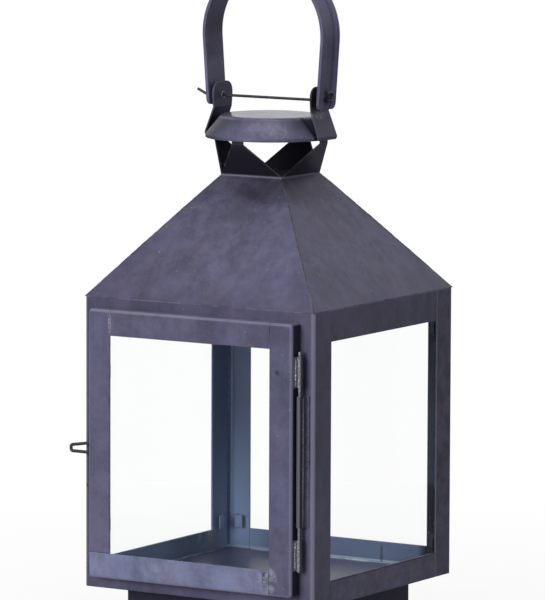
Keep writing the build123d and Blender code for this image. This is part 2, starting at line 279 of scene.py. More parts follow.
# %% [markdown]
# Blackened iron sheet is dark but not black: a thin violet-grey skin with a satin shine, cloudy where the
# hand-made finish is thicker, streaked where it was wiped, rubbed brighter along the folds and crossed by a few
# fine scratches. Real folds are never knife-sharp, so the Bevel node rounds the shading at every edge. The
# difference between the rounded and the true normal is also the place where wear shows.

# %% Find the edges and scratches
bevel_samples = 6
scratch_turns = ((0, 20, 35), (50, 0, -20), (15, 70, 80))
scratch_stretch = (900, 12, 900)
scratched_scale = 35.0


def surface_edges(place, radius):
    """Rounded normal, and how far it leans from the true one: 0 on flat sheet, larger along an edge."""
    rounded = place.add("ShaderNodeBevel", {"samples": bevel_samples}, {"Radius": radius})
    true_normal = place.add("ShaderNodeNewGeometry", output="Normal")
    agreement = place.add(
        "ShaderNodeVectorMath", {"operation": "DOT_PRODUCT"}, {0: rounded, 1: true_normal}, output="Value"
    )
    return rounded, 1 - agreement


def scratches(place):
    """Sparse thin light lines in three directions."""
    fine = 0
    for turn_degrees in scratch_turns:
        lines = noise(stretched(place, turn_degrees, scratch_stretch), 1.0, 1.0)
        fine = lines.step(0.755, 0.80) + fine
    patches = noise(place, scratched_scale, 1.0).step(0.52, 0.66)
    return fine * patches


# %% [markdown]
# One function makes the iron of every sheet from its base colour. Clouds, wiped streaks and a fine mottle
# together decide how dark the skin is, and a slower noise turns its hue a little from violet to blue. Then come
# the grain, the touches, and last the worn edges, scratches and specks, which lie on top of everything.
# Height for the Bump node comes from the same noises, so that colour and relief belong together.

# %% Blacken the iron
cloud_scale, mottle_scale, grain_scale = 30.0, 170.0, 1300.0
hue_scale, wear_scale, speck_scale = 38.0, 130.0, 560.0
wipe_turn, wipe_stretch = (12, 25, 8), (110, 110, 16)
cloud_share, wipe_share, mottle_share = 0.42, 0.30, 0.28
fold_radius = 0.0007
darkest, lightest, grain_light = 0.64, 1.40, 1.9
violet_shift = (1.02, 0.993, 0.98)
blue_shift = (0.96, 1.007, 1.04)
worn_edge = colour(0.28, 0.275, 0.33)
scratch_grey = colour(0.26, 0.26, 0.31)
speck_grey = colour(0.27, 0.265, 0.32)
satin_tint = colour(0.80, 0.77, 1.0)
satin_level = 0.28
relief_strength, relief_height = 0.20, 0.0006


def shade(base, share, shift=(1, 1, 1)):
    """A base colour times one share, with each of its three parts shifted."""
    return colour(*(share * part_shift * part for part_shift, part in zip(shift, base)))


def iron(name, base, touches=(), rough=0.30, polish=None, dull=None):
    """Satin blackened iron with touches; polish and dull are masks that make it shinier or duller."""
    material, shader, place = start_material(name)
    clouds = noise(place, cloud_scale, 5.0, 0.62)
    mottle = noise(place, mottle_scale, 5.0, 0.65)
    wiped = noise(stretched(place, wipe_turn, wipe_stretch), 1.0, 4.0, 0.6)
    grain = noise(place, grain_scale, 2.0)
    specks = noise(place, speck_scale, 1.0).step(0.745, 0.80)
    rounded, lean = surface_edges(place, fold_radius)
    rubbed = lean.step(0.02, 0.22) * noise(place, wear_scale, 3.0).step(0.36, 0.62)
    scuffed = scratches(place)

    patina = clouds.step(0.36, 0.66) * cloud_share + wiped.step(0.34, 0.68) * wipe_share
    patina = patina + mottle.step(0.34, 0.68) * mottle_share
    violet = patina.blend(shade(base, darkest, violet_shift), shade(base, lightest, violet_shift))
    blue = patina.blend(shade(base, darkest, blue_shift), shade(base, lightest, blue_shift))
    tone = noise(place, hue_scale, 3.0).step(0.40, 0.60).blend(violet, blue)
    tone = (grain.step(0.60, 0.78) * 0.20).blend(tone, shade(base, grain_light))
    shine = clouds * 0.14 + wiped * 0.16 - rubbed * 0.10 + rough
    if polish:
        shine = shine - polish(place) * 0.20
    if dull:
        shine = shine + dull(place) * 0.35
        specks = specks * (1 - dull(place))
    tone = touched(place, tone, touches)
    tone = (rubbed * 0.45).blend(tone, worn_edge)
    tone = (scuffed * 0.30).blend(tone, scratch_grey)
    tone = (specks * 0.40).blend(tone, speck_grey)
    bumps = clouds * 0.5 + wiped * 0.10 + grain * 0.04 - scuffed * 0.08
    sockets = {"Strength": relief_strength, "Distance": relief_height, "Height": bumps, "Normal": rounded}

    feed(shader, "Base Color", tone)
    feed(shader, "Roughness", shine)
    feed(shader, "Normal", place.add("ShaderNodeBump", None, sockets))
    feed(shader, "Specular IOR Level", satin_level)
    feed(shader, "Specular Tint", satin_tint)
    return material


# Near-black for soot and grease, and for painted shade where light does not reach.
soot_and_shade_black = (0.0034, 0.0030, 0.0062)
dark_line_black = (0.020, 0.024, 0.034)
# Light grey for the painted highlights along folds and edges.
painted_highlight_grey = (0.205, 0.200, 0.265)
pale_solder = (0.33, 0.37, 0.46)
foot_iron = iron("blackened_foot_iron", (0.017, 0.016, 0.030), rough=0.50)
floor_iron = iron("blackened_floor_iron", (0.068, 0.078, 0.140), rough=0.22)
print("made", foot_iron.name, "and", floor_iron.name)

# %% [markdown]
# The chamber's side of the walls is bluer than the outside, where heat has drawn the finish. Its colour could
# be given to separate inner sheets, but each post and rail is one sheet with two faces, so a mask tells the
# sides apart: a point is in the chamber when it lies inside the middle of the walls and inside the posts'
# folds. Near the floor, towards the left, the chamber is painted paler as a pool of light, and its upright
# corners stay dark with painted shade.

# %% Find the chamber's marks
body_half = cad_high.x
sheet = 0.0008
wall_middle = body_half - sheet / 2
post_fold_start = 0.1227
back_wall_start = 0.0602
far_post_start = 0.0470
far_shadow_top = 0.0625
pale_top, pale_side = 0.062, -0.045
seam_x = 0.0247
floor_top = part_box("floor_pan")[1].z
rail_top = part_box("right_bottom_rail")[1].z
post_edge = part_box("right_bottom_rail")[1].y


def chamber_side(place):
    """1 on everything that lies inside the walls and inside the folds of the posts."""
    x, y, _ = separate(place)
    wall = above(abs(x).most(abs(y)), wall_middle, 0.00015)
    fold = above(abs(x) + abs(y), post_fold_start, 0.0001)
    return 1 - wall.most(fold)


def chamber_light_pool(place):
    """Painted light on the chamber's sides, fading from its floor upwards and from its left-hand wall to the
    right.
    """
    x, _, z = separate(place)
    return chamber_side(place) * below(z, pale_top, 0.038) * (1 - above(x, pale_side, 0.017) * 0.90)


def back_wall(place):
    """The chamber's side of the back wall."""
    return chamber_side(place) * above(separate(place)[1], back_wall_start, 0.0004)


def foot_reflection_line(place):
    """Painted reflection: 1 along the foot of the back wall, where it meets the floor."""
    return back_wall(place) * below(separate(place)[2], floor_top + 0.00125, 0.00025)


def from_corner(place):
    """How far a point on a wall lies from the wall that it meets in the nearest corner."""
    x, y, _ = separate(place)
    return body_half - (abs(x) + abs(y) - abs(x).most(abs(y)))


def corner_shade(place):
    """1 in the chamber's upright corners, where neither light nor a cloth reaches."""
    return chamber_side(place) * below(from_corner(place), 0.0019, 0.0002)


def corner_lines(place):
    """1 on a narrow stripe of each back post, just past the fold, where the finish has cracked off."""
    nearer = from_corner(place)
    return back_wall(place) * above(nearer, 0.00225, 0.00015) * below(nearer, 0.0030, 0.0002)


def far_post(place):
    """The chamber's sides by the right-hand window, which the touches paint darkest."""
    return chamber_side(place) * above(separate(place)[0], far_post_start, 0.0030)


def far_shadow(place):
    """1 on the lower part of the post at the far end of the right-hand window."""
    return far_post(place) * below(separate(place)[2], far_shadow_top, 0.0010)


def rail_seam(place):
    """A dark upright line on the inside of the back rail."""
    x, y, z = separate(place)
    line = below(abs(x - seam_x), 0.0006, 0.0002) * above(y, 0.0575, 0.0025)
    return chamber_side(place) * line * below(z, rail_top - 0.002, 0.001)


def chamber_stain(centre, half_sizes, scale):
    """Mask of a stain that stays on the chamber's side of the walls."""
    def mask(place):
        return chamber_side(place) * stain(centre, half_sizes, scale)(place)
    return mask


print("chamber: floor at", round(floor_top, 4), "m, rails up to", round(rail_top, 4), "m")

# %% [markdown]
# The outside of the body carries painted highlights along the posts' outer folds and along the window edge of
# the far post, and painted shade in a dark line between the right-hand rail and its pane. A highlight along a
# fold could be left to the worn edges of the iron, but those are only as wide as the rounding of the edge, and
# the posts are bent more softly. The fold is where x and y together reach furthest out.


# %% Finish the body
def post_fold_highlight(place):
    """Painted highlight: 1 along the middle of each post's outer fold, where x and y together reach furthest
    out.
    """
    x, y, _ = separate(place)
    return above(abs(x) + abs(y), post_fold_start + 0.0006, 0.0003)


def post_lip_highlight(place):
    """Painted highlight: 1 along the window edge of the far post's outer face."""
    x, y, _ = separate(place)
    return above(x, 0.06215, 0.00015) * below(abs(y - (post_edge + 0.0004)), 0.00035, 0.00015)


def rail_lip_shade(place):
    """Painted shade: 1 along the upper edge of the rail under the right-hand window, in the gap below its pane.
    """
    x, y, z = separate(place)
    edge = above(z, rail_top - 0.00065, 0.00015) * below(z, rail_top + 0.0003, 0.0001)
    return edge * above(x, 0.0605, 0.0005) * below(abs(y), post_edge - 0.00015, 0.00015)


chamber_blue = (0.054, 0.106, 0.245)
# The pale chamber colour below is painted light.
chamber_light_colour = (0.24, 0.34, 0.55)
far_post_soot = stain((0.0625, 0.0565, 0.0900), (0.004, 0.0130, 0.0900), 110.0)
post_foot_solder = chamber_stain((-0.0533, 0.0617, 0.0348), (0.0045, 0.004, 0.0060), 160.0)
# Painted light on the inside of the left-hand rail.
left_rail_light = chamber_stain((-0.0617, 0.0420, 0.0300), (0.004, 0.0110, 0.0065), 160.0)
right_rail_dust = stain((0.0625, 0.0, 0.0268), (0.004, 0.0560, 0.0070), 150.0)
body_touches = (
    (chamber_side, chamber_blue, 0.95),
    (back_wall, (0.072, 0.095, 0.139), 0.70),
    # painted light: a paler pool low in the chamber, towards the left-hand wall
    (chamber_light_pool, chamber_light_colour, 1.0),
    (corner_shade, chamber_blue, 0.90),
    # painted reflection: a pale line along the foot of the back wall
    (foot_reflection_line, (0.35, 0.42, 0.55), 0.75),
    (far_post, (0.016, 0.020, 0.034), 0.85),
    (far_shadow, soot_and_shade_black, 0.92),
    (rail_seam, dark_line_black, 0.75),
    # painted shade in the gap under the right-hand pane
    (rail_lip_shade, soot_and_shade_black, 0.90),
    (corner_lines, (0.26, 0.34, 0.48), 0.70),
    # painted highlight along the posts' outer folds
    (post_fold_highlight, painted_highlight_grey, 0.70),
    (far_post_soot, soot_and_shade_black, 0.60),
    # painted highlight along the far post's window edge
    (post_lip_highlight, painted_highlight_grey, 0.60),
    (post_foot_solder, pale_solder, 0.40),
    # painted light on the inside of the left-hand rail
    (left_rail_light, (0.55, 0.62, 0.74), 0.70),
    (pit((-0.0613, -0.0625, 0.0685), 0.0011), (0.006, 0.006, 0.009), 0.8),
    (right_rail_dust, (0.16, 0.165, 0.21), 0.35),
)
body_iron = iron("blackened_body_iron", (0.066, 0.062, 0.107), body_touches)
print("made", body_iron.name, "with", len(body_touches), "touches")

# %% [markdown]
# The door is a frame of four folded trays. Its folds carry a painted highlight, its hinge side a painted
# shadow, and its lowest bar is paler and bluer than the rest, partly wiped and partly a painted reflection of
# the floor. Solder has run at the lower right corner and left a pale, pitted patch, and thin stains cross the
# upper bar. The pale bar is a material of its own, because its base colour differs, while all the marks on the
# face of the door are touches.

# %% Finish the door
door_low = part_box("door_bottom_rail")[0]
door_front = door_low.y
door_side, _, door_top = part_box("door_right_stile")[1]
mark_depth = 0.004


def door_fold_highlight(place):
    """Painted highlight: 1 along the folds round the door's face, where depth and reach to the outline meet."""
    x, y, z = separate(place)
    reach = (abs(x) - door_side).most((door_low.z - z).most(z - door_top))
    return above(reach - y + door_front, -0.00115, 0.0002)


def door_flank_shade(place):
    """Painted shade: 1 on the door's hinge side, behind its fold, where no light reaches."""
    x, y, _ = separate(place)
    return above(x, door_side - 0.0002, 0.0001) * above(y, door_front + 0.0014, 0.0003)


def face_stain(x, z, half_width, half_height, scale, depth=mark_depth):
    """Mask of a stain on the door's face, round a point given by its x and z."""
    return stain((x, door_front, z), (half_width, depth, half_height), scale)


frame_touches = (
    # painted highlight along the door's folds
    (door_fold_highlight, painted_highlight_grey, 0.55),
    # painted shade on the door's hinge side
    (door_flank_shade, soot_and_shade_black, 0.92),
    (face_stain(0.0425, 0.0345, 0.0060, 0.0085, 260.0), pale_solder, 0.60),
    (face_stain(0.0418, 0.0350, 0.0030, 0.0065, 620.0), (0.014, 0.013, 0.022), 0.88),
)
door_touches = frame_touches + (
    (face_stain(-0.0490, 0.0620, 0.0120, 0.0420, 22.0), (0.135, 0.130, 0.205), 0.55),
    (face_stain(0.0300, 0.1465, 0.0300, 0.0080, 45.0), (0.045, 0.044, 0.078), 0.55),
    (face_stain(-0.0250, 0.1480, 0.0200, 0.0070, 60.0), (0.110, 0.118, 0.190), 0.50),
    (face_stain(-0.0434, 0.1462, 0.0008, 0.0060, 1500.0, depth=0.002), (0.55, 0.56, 0.60), 0.8),
    (pit((0.0475, door_front, 0.1298), 0.0014), (0.018, 0.018, 0.027), 0.75),
)
low_bar_touches = frame_touches + (
    (face_stain(-0.0183, 0.0334, 0.0100, 0.0055, 200.0), pale_solder, 0.26),
    # painted highlight: a paler, bluer patch across the middle of the lowest bar
    (face_stain(0.0020, 0.0340, 0.0320, 0.0062, 60.0), (0.19, 0.21, 0.32), 0.40),
)
door_iron = iron("blackened_door_iron", (0.078, 0.075, 0.128), door_touches)
# The lowest bar's paler, bluer base is partly a wiped finish and partly a painted reflection of the floor.
low_bar_iron = iron("wiped_and_sheen_door_iron", (0.146, 0.156, 0.255), low_bar_touches)
print("made", door_iron.name, "and", low_bar_iron.name)

# %% [markdown]
# Each roof panel is one sheet that turns up at the crown into a flared tab. Smoke leaves under the cap. The
# roof darkens towards the crown, sooty and with painted shade under the cap, the tabs are nearly black with
# painted shade, and the whole underside is black, sooty and with painted shade. A painted highlight makes the
# fold between roof and tab a thin bright line. Which side of a sheet is the underside could be told from a
# distance, but the slopes make that awkward. The normal tells it at once: it looks towards the axis.

# %% Finish the roof
crown_fold = 0.2124
roof_middle = 0.178
tab_start = 0.0173
tab_blur = 0.0007


def soot_and_cap_shade(place):
    """Sooty, and painted shade under the cap: grows from the middle of the roof up to the fold of the crown."""
    return separate(place)[2].step(roof_middle, crown_fold)


# The flared tabs carry painted shade under the cap's rim.
def shaded_tabs(place):
    """1 above the crown's fold, less at the upper back edge of the right tab and the top of the front one."""
    x, y, z = separate(place)
    rise = z - crown_fold
    right_share = above(y + rise * 1.6, 0.009, 0.007) * above(x, tab_start, tab_blur) * 0.65
    front_share = above(rise, 0.0135, 0.0030) * above(0 - y, tab_start, tab_blur) * 0.20
    return above(rise, 0.00025, 0.00035) * (1 - right_share.most(front_share))


def crown_crease_highlight(place):
    """Painted highlight: 1 along the fold of the crown."""
    return below(abs(separate(place)[2] - crown_fold), 0.00055, 0.00025)


def roof_underside(place):
    """1 on faces that look towards the lantern's axis: blackened by the candle's smoke, and painted shade."""
    x, y, _ = separate(place)
    facing_x, facing_y, _ = separate(place.add("ShaderNodeNewGeometry", output="Normal"))
    return below(x * facing_x + y * facing_y, 0.0, 0.0001)


roof_dust = stain((0.0, 0.0, 0.1800), (0.0800, 0.0800, 0.0420), 150.0)
crown_smudge = smudge((0.0120, -0.0180, 0.2110), (0.0240, 0.0180, 0.0170))
roof_touches = (
    # sooty, and painted shade under the cap, growing towards the crown
    (soot_and_cap_shade, soot_and_shade_black, 0.30),
    (roof_dust, (0.125, 0.120, 0.180), 0.40),
    (crown_smudge, soot_and_shade_black, 0.72),
    # painted shade on the flared tabs
    (shaded_tabs, soot_and_shade_black, 0.985),
    # painted highlight along the fold of the crown
    (crown_crease_highlight, painted_highlight_grey, 0.45),
    # the underside: smoke-blackened, and painted shade
    (roof_underside, soot_and_shade_black, 0.97),
)
roof_iron = iron("blackened_roof_iron", (0.068, 0.064, 0.106), roof_touches, dull=shaded_tabs)
print("made", roof_iron.name, "with", len(roof_touches), "touches")

# %% [markdown]
# The cap, the straps and the handle are above the smoke. The cap is polished on its flat top and dark round its
# sides, sooty and with painted shade, apart from the middle of its front, which carries a painted highlight.
# The straps carry painted shade where the left one meets the cap and over the right one, which faces away
# from the lamps, and grease and soot have collected round the ends of the wire pin. All this could be one
# material, but then every mask would be worked out for every piece, so each piece gets only the touches that
# it shows.

# %% Finish the cap, the straps and the handle
cap_low, cap_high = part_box("vent_cap")
cap_front_x, cap_front_y = 0.45, -0.89
strap_edge = -0.0078
leg_outside = 0.0290
pin_level = handle_joint["pos_m"][2]


def cap_crown(place):
    """1 on the flat top of the cap."""
    return above(separate(place)[2], cap_high.z - 0.0009, 0.0003)


def cap_soot_and_shade(place):
    """Dark on the cap's sides away from the front's middle: sooty from smoke round the rim, and painted shade.
    """
    x, y, z = separate(place)
    front = (x * cap_front_x + y * cap_front_y).step(0.014, 0.0275)
    return (1 - front) * below(z, cap_high.z - 0.0013, 0.0005)


def strap_shadow(place):
    """A dark line on the cap along the front edge of the right strap."""
    x, y, _ = separate(place)
    return above(x, 0.0195, 0.0015) * below(abs(y - strap_edge), 0.0009, 0.0006)


def strap_foot_shade(place):
    """Painted shade: 1 on the lower part of the left strap, next to the cap."""
    x, _, z = separate(place)
    return below(x, -0.0275, 0.0015) * below(z, cap_high.z + 0.0015, 0.0045)


def right_strap(place):
    """1 on the right strap, 0 on the left one."""
    return above(separate(place)[0], 0.0005, 0.0005)


def right_ear(place):
    """1 on the ear of the right strap."""
    return right_strap(place) * above(separate(place)[2], cap_high.z + 0.00325, 0.00125)


# A paler patch on the front of the cap's skirt: a painted highlight.
cap_front_sheen = stain((0.0135, -0.0235, 0.2345), (0.0120, 0.0100, 0.0060), 120.0)
strap_scuff = stain((0.0290, -0.0020, 0.2412), (0.0040, 0.0080, 0.0026), 420.0)
pin_grease = stain((leg_outside, 0.0, pin_level), (0.0060, 0.0065, 0.0060), 240.0)
leg_grip = smudge((-leg_outside, 0.0, 0.2750), (0.0060, 0.0120, 0.0140))
leg_wipe = smudge((-leg_outside, 0.0, 0.2600), (0.0060, 0.0120, 0.0080))
cap_touches = (
    # sooty, and painted shade, round the sides of the cap
    (cap_soot_and_shade, soot_and_shade_black, 0.80),
    (strap_shadow, soot_and_shade_black, 0.85),
    # painted highlight on the front of the skirt
    (cap_front_sheen, (0.20, 0.21, 0.26), 0.45),
)
strap_touches = (
    # painted shade on the foot of the left strap
    (strap_foot_shade, soot_and_shade_black, 0.80),
    # painted shade: the right-hand strap and its ear face away from the lamps
    (right_strap, soot_and_shade_black, 0.20),
    (right_ear, soot_and_shade_black, 0.90),
    (strap_scuff, (0.30, 0.30, 0.36), 0.60),
)
handle_touches = (
    (pin_grease, soot_and_shade_black, 0.98),
    (pit((leg_outside + 0.0015, 0.0, pin_level), 0.0030), soot_and_shade_black, 0.90),
    (leg_grip, (0.030, 0.028, 0.050), 0.65),
    (leg_wipe, (0.150, 0.150, 0.230), 0.45),
)
cap_iron = iron("blackened_cap_iron", (0.084, 0.082, 0.136), cap_touches, polish=cap_crown)
strap_iron = iron("blackened_strap_iron", (0.050, 0.047, 0.080), strap_touches)
handle_iron = iron("blackened_handle_iron", (0.088, 0.083, 0.150), handle_touches)
print("made", cap_iron.name, strap_iron.name, handle_iron.name)

# %% [markdown]
# The hinge is one rod in three rolled knuckles. The middle knuckle belongs to the leaf on the post: bare, and
# lighter with painted light, on the side that rubs against the door's leaves, black with painted shade where the
# roll turns back to its root, and gritty on the flat of the leaf. The door's leaves carry painted shade along
# their front edges. Angles round the rod would need an arctangent. A straight distance does as well here: how
# far a point lies from the rod along the direction that leads away from the door.

# %% Finish the post's hinge leaf
rod_x, rod_y, _ = door_joint["pos_m"]
away_x, away_y = 0.85, 0.53
leaf_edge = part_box("upper_hinge_leaf")[0].y


def round_the_rod(place):
    """How far a point lies from the rod, along the direction that leads away from the door."""
    x, y, _ = separate(place)
    return (x - rod_x) * away_x + (y - rod_y) * away_y


def knuckle_side(place):
    """Bare steel and painted light: 1 on the door's side of the post leaf's knuckle, 0 on the rest of the leaf.
    """
    return below(round_the_rod(place), 0.00005, 0.00015)


def knuckle_back_shade(place):
    """Painted shade: 1 on the far side of the knuckles, from the rod to the root of the leaf."""
    offset = round_the_rod(place)
    return above(offset, 0.0002, 0.0002) * below(offset, 0.00145, 0.00015)


def leaf_front_shade(place):
    """Painted shade: 1 on the front edge of a door leaf, next to the door."""
    return below(separate(place)[1], leaf_edge + 0.00045, 0.00015)


leaf_grit = stain((0.0602, -0.0632, 0.0904), (0.0022, 0.003, 0.0380), 700.0)
leaf_touches = (
    # bare steel, lighter with painted light
    (knuckle_side, (0.105, 0.103, 0.125), 0.85),
    # painted shade behind the knuckle
    (knuckle_back_shade, soot_and_shade_black, 0.92),
    (leaf_grit, (0.15, 0.15, 0.18), 0.45),
)
leaf_iron = iron("blackened_leaf_iron", (0.056, 0.052, 0.084), leaf_touches)
print("made", leaf_iron.name)

# %% [markdown]
# Window glass this thin hardly bends what is behind it, so it needs no refraction. Most of the light goes
# straight through a Transparent shader with a faint tint, and a polished shader adds the mirror image. How
# much of each follows the usual estimate: 4 % when looking straight at the pane, and the rest times the fifth
# power of how glancing the view is. Light also reaches the chamber through it, which refracting glass would
# block. The share is then lowered, because the real panes mirror less than the estimate says.

# %% Make the panes
straight_share = 0.04
mirror_strength = 0.22
breath_scale = 30.0
pane_tint = colour(0.999, 1.0, 1.0)
mirror_tint = colour(0.93, 0.97, 0.98)


def window_glass():
    """Thin clear pane; mirror share = 0.04 + 0.96 * (1 - cosine of the view) ** 5, times a strength."""
    material, shader, place = start_material("window_glass")
    breath = noise(place, breath_scale, 3.0).step(0.45, 0.75)
    glancing = place.add("ShaderNodeLayerWeight", None, {"Blend": 0.5}, output="Facing")
    share = glancing.math("POWER", glancing, 5.0) * (1 - straight_share) + straight_share
    mirror = share * mirror_strength + breath * 0.003
    clear = place.add("ShaderNodeBsdfTransparent", None, {"Color": pane_tint})
    feed(shader, "Base Color", mirror_tint)
    feed(shader, "Metallic", 1.0)
    feed(shader, "Roughness", breath * 0.05 + 0.03)
    polished = Wire(material.node_tree, shader.outputs["BSDF"])
    pane = place.add("ShaderNodeMixShader", None, {0: mirror, 1: clear, 2: polished})
    feed(material.node_tree.nodes["Material Output"], "Surface", pane)
    return material


glass = window_glass()
print("made", glass.name)

# %% [markdown]
# The small metal pieces have finishes of their own. The door's hinge leaves are grey steel speckled by the
# soldering iron, the clips are dull tinned strip, solder is soft and lumpy and bright or dull by turns, the
# seams are filled with dark grime, and the pin and the pull are plain dark wire. They differ only in colour,
# shine and lumpiness, so one function makes them all from two colours and the size of their lumps.

# %% Make the bare metals
speckle_ratio = 3.1
bare_edge_radius = 0.0002
lump_strength = 0.6


def bare_metal(name, dark, light, metallic, rough, lump_scale, lump_height, touches=()):
    """Metal speckled between two colours, with lumps of a given scale per metre and height in metres."""
    material, shader, place = start_material(name)
    lumps = noise(place, lump_scale, 4.0, 0.6)
    speckle = noise(place, lump_scale * speckle_ratio, 2.0).step(0.42, 0.66)
    rounded, lean = surface_edges(place, bare_edge_radius)
    sockets = {"Strength": lump_strength, "Distance": lump_height, "Height": lumps, "Normal": rounded}
    tone = (speckle * 0.7 + lean.step(0.05, 0.4) * 0.3).blend(colour(*dark), colour(*light))
    feed(shader, "Base Color", touched(place, tone, touches))
    feed(shader, "Metallic", metallic)
    feed(shader, "Roughness", lumps * 0.25 + rough)
    feed(shader, "Normal", place.add("ShaderNodeBump", None, sockets))
    return material


# Painted shade behind the knuckles and along the front edges of the door's leaves.
hinge_touches = ((knuckle_back_shade, soot_and_shade_black, 0.90), (leaf_front_shade, soot_and_shade_black, 0.85))
# The clips take the chamber's painted light low on the left and its painted shadow at the foot of the far post.
clip_touches = ((chamber_light_pool, chamber_light_colour, 0.85), (far_shadow, soot_and_shade_black, 0.92))
hinge_steel = bare_metal(
    "hinge_steel", (0.11, 0.107, 0.135), (0.34, 0.335, 0.40), 0.3, 0.34, 520.0, 0.0003, hinge_touches
)
tin = bare_metal(
    "tinned_strip", (0.060, 0.083, 0.135), (0.115, 0.145, 0.205), 0.2, 0.42, 180.0, 0.0002, clip_touches
)
solder = bare_metal("solder", (0.12, 0.12, 0.15), (0.52, 0.52, 0.58), 0.5, 0.32, 420.0, 0.0004)
dull_solder = bare_metal("dull_solder", (0.014, 0.013, 0.020), (0.17, 0.17, 0.20), 0.4, 0.35, 360.0, 0.0003)
inner_solder = bare_metal("inner_solder", (0.17, 0.22, 0.30), (0.42, 0.48, 0.58), 0.2, 0.36, 40.0, 0.0002)
# Dark blue like the painted shade in the chamber's corners.
blue_seam = bare_metal("blue_seam", (0.030, 0.060, 0.140), (0.070, 0.130, 0.280), 0.2, 0.45, 300.0, 0.0002)
seam_black = bare_metal("seam_black", (0.006, 0.006, 0.010), (0.075, 0.073, 0.095), 0.2, 0.45, 300.0, 0.0002)
wire_black = bare_metal("black_wire", (0.006, 0.006, 0.010), (0.024, 0.023, 0.034), 0.1, 0.42, 600.0, 0.0002)
print("materials so far:", len(bpy.data.materials))

# %% [markdown]
# The record names a material slot for each node, and most slots have one finish. A few nodes differ from
# their slot, so they are looked up first by their own name.

# %% Give every node of the frame its finish
finish_of_slot = {
    "blackened_iron": body_iron,
    "clear_glass": glass,
    "soldered_steel": hinge_steel,
    "tinned_clip": tin,
    "black_wire": wire_black,
}
finish_of_node = {
    "base_foot": foot_iron,
    "floor_pan": floor_iron,
    "vent_cap": cap_iron,
    "left_handle_strap": strap_iron,
    "right_handle_strap": strap_iron,
    "handle": handle_iron,
    "door_left_stile": door_iron,
    "door_right_stile": door_iron,
    "door_top_rail": door_iron,
    "door_bottom_rail": low_bar_iron,
    "hinge_post_leaf": leaf_iron,
}
for side in ("front", "right", "back", "left"):
    finish_of_node[f"{side}_roof_panel"] = roof_iron
for subpart in record["subparts"]:
    name = subpart["node"]
    nodes[name].data.materials.clear()
    nodes[name].data.materials.append(finish_of_node.get(name, finish_of_slot[subpart["material_slot"]]))
print("finished nodes:", len(record["subparts"]))

# %% [markdown]
# New pieces are grids of points: one parameter runs along the piece and the other round it. The helper below
# turns such a grid into a mesh. Looping over the points would do the same, but whole arrays are shorter and
# quicker. Where a ring shrinks to a point its points coincide, so they are merged, and the faces are then
# turned outwards.


# %% Turn a grid of points into a piece
def grid_piece(name, grid, body, material, round_first=False):
    """Mesh of grid[i, j], closed round j and, if asked, round i; it rides on a body of the frame."""
    rows, columns = grid.shape[:2]
    index = np.arange(rows * columns).reshape(rows, columns)
    index = np.hstack([index, index[:, :1]])
    if round_first:
        index = np.vstack([index, index[:1]])
    quads = np.stack([index[:-1, :-1], index[1:, :-1], index[1:, 1:], index[:-1, 1:]], axis=-1)
    mesh = bpy.data.meshes.new(name)
    mesh.from_pydata(grid.reshape(-1, 3).tolist(), [], quads.reshape(-1, 4).tolist())
    merged = bmesh.new()
    merged.from_mesh(mesh)
    bmesh.ops.remove_doubles(merged, verts=merged.verts, dist=1e-7)
    bmesh.ops.recalc_face_normals(merged, faces=merged.faces)
    merged.to_mesh(mesh)
    merged.free()
    mesh.shade_smooth()
    mesh.materials.append(material)
    piece = bpy.data.objects.new(name, mesh)
    bpy.context.scene.collection.objects.link(piece)
    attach(piece, body)
    print("made", name, "with", len(mesh.polygons), "faces")
    return piece


# %% [markdown]
# The cap over the vent is a shallow dish pressed from one disc. Pressing leaves soft shoulders and a top that
# sinks a little in the middle. A bevelled cylinder would give the shoulders but not the sunken top, so the cap
# is a profile carried round the axis: the profile's corners are rounded with arcs, it is turned through a full
# circle, and the height of the flat top is lowered by a parabola.


# %% Round a profile
def rounded_profile(corners, radii, steps=8):
    """Polyline whose inner corners are replaced by arcs: each starts and ends one tangent length from it."""
    corners = np.asarray(corners, float)
    runs = [corners[:1]]
    for before, corner, after, radius in zip(corners, corners[1:], corners[2:], radii):
        inwards = (before - corner) / np.linalg.norm(before - corner)
        onwards = (after - corner) / np.linalg.norm(after - corner)
        half_angle = np.arccos(np.clip(inwards @ onwards, -1, 1)) / 2
        middle = (inwards + onwards) / np.linalg.norm(inwards + onwards)
        centre = corner + middle * radius / np.sin(half_angle)
        start = corner + inwards * radius / np.tan(half_angle) - centre
        end = corner + onwards * radius / np.tan(half_angle) - centre
        share = np.linspace(0, 1, steps)[:, None]
        arc = start * (1 - share) + end * share
        runs.append(centre + arc * radius / np.linalg.norm(arc, axis=1, keepdims=True))
    runs.append(corners[-1:])
    return np.vstack(runs)


# %% Press the cap
cap_radius = cap_high.x
cap_flat_radius = 0.0230
cap_lip = 0.0015
cap_sink = 0.00035
cap_sides = 192
cap_corners = [
    (0.0, cap_high.z),
    (cap_flat_radius, cap_high.z),
    (cap_radius, cap_low.z + cap_lip),
    (cap_radius, cap_low.z),
    (cap_radius - sheet, cap_low.z),
    (cap_radius - sheet, cap_low.z + cap_lip - sheet / 2),
    (cap_flat_radius - sheet / 2, cap_high.z - sheet),
    (0.0, cap_high.z - sheet),
]
cap_corner_radii = (0.0030, 0.0008, 0.0002, 0.0002, 0.0003, 0.0024)
profile = rounded_profile(cap_corners, cap_corner_radii)
sunk = np.clip(1 - (profile[:, 0] / cap_flat_radius) ** 2, 0, 1) * cap_sink
around = np.linspace(0, 2 * np.pi, cap_sides, endpoint=False)
cap_x = np.outer(profile[:, 0], np.cos(around))
cap_y = np.outer(profile[:, 0], np.sin(around))
cap_z = np.outer(profile[:, 1] - sunk, np.ones_like(around))
cap = grid_piece("pressed_cap", np.stack([cap_x, cap_y, cap_z], axis=-1), "body", cap_iron)
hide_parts("vent_cap")

